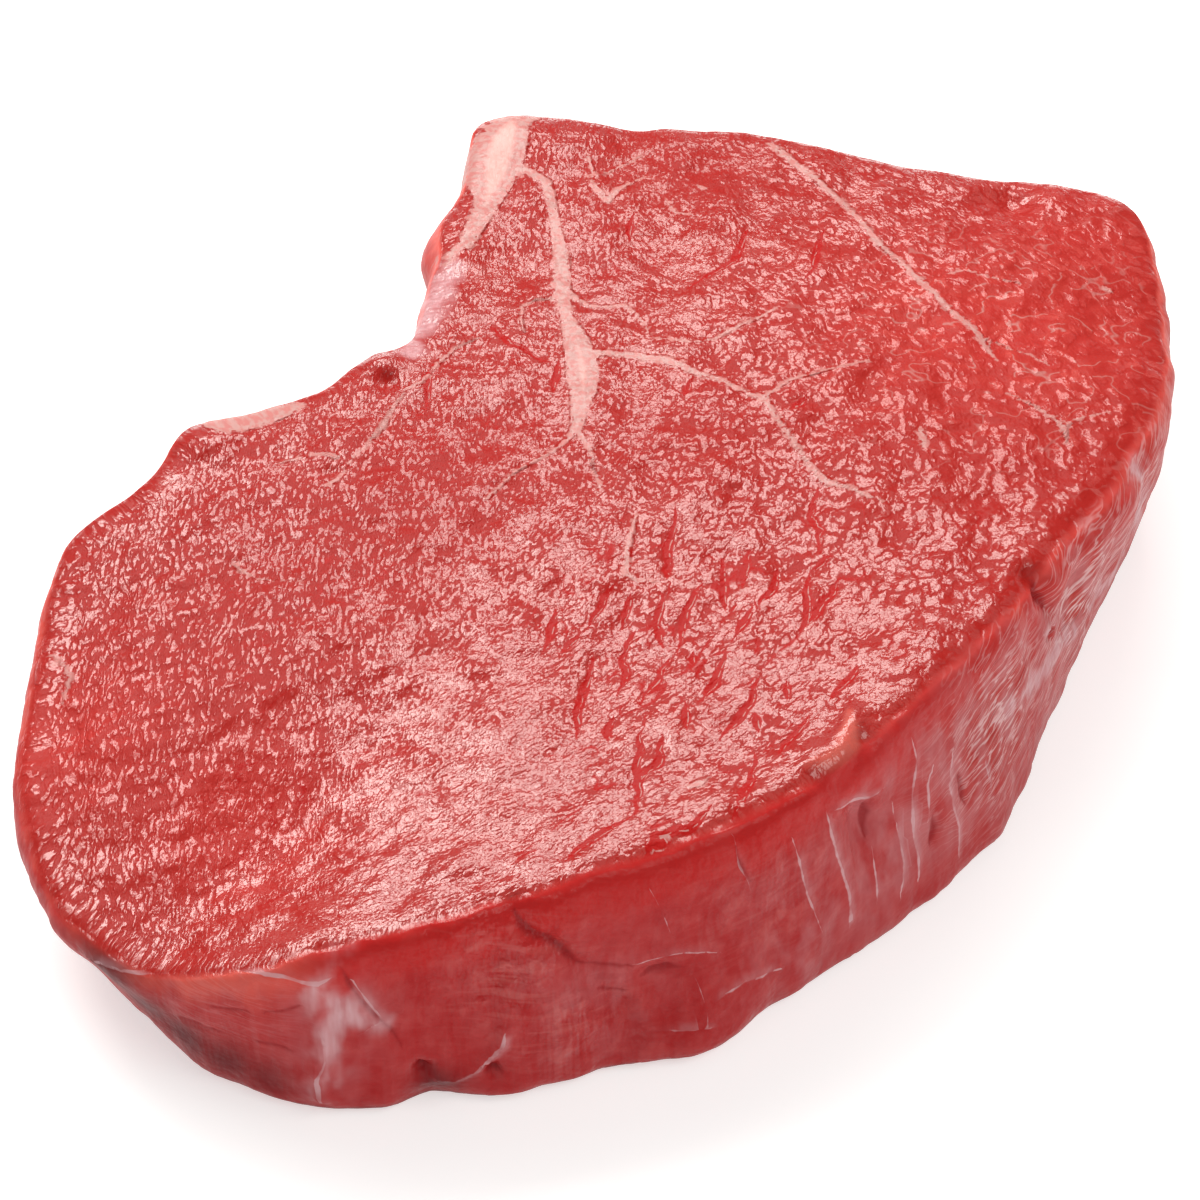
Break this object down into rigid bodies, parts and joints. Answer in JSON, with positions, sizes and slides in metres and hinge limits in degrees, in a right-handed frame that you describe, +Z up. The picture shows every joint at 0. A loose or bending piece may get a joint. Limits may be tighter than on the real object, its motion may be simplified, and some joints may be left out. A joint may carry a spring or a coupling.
{
  "type": "top rump steak",
  "caption": "Thick slice of raw top rump beef, a rounded slab with a notch at one side, a pale fat corner, fine marbling and a pleated edge, lying flat.",
  "frame": {"origin": "on the surface that the steak lies on, under the middle of its bounding box", "axes": "+Z up, out of the upper cut face; +Y from the rounded front edge to the back corner with the fat; +X to the right as seen from the front"},
  "size_m": [0.1448, 0.1592, 0.0323],
  "materials": {
    "beef": "wet raw lean meat, glossy on the cut face, with pale fat seams"
  },
  "bodies": {
    "root": {"steak": "beef"}
  },
  "joints": []
}
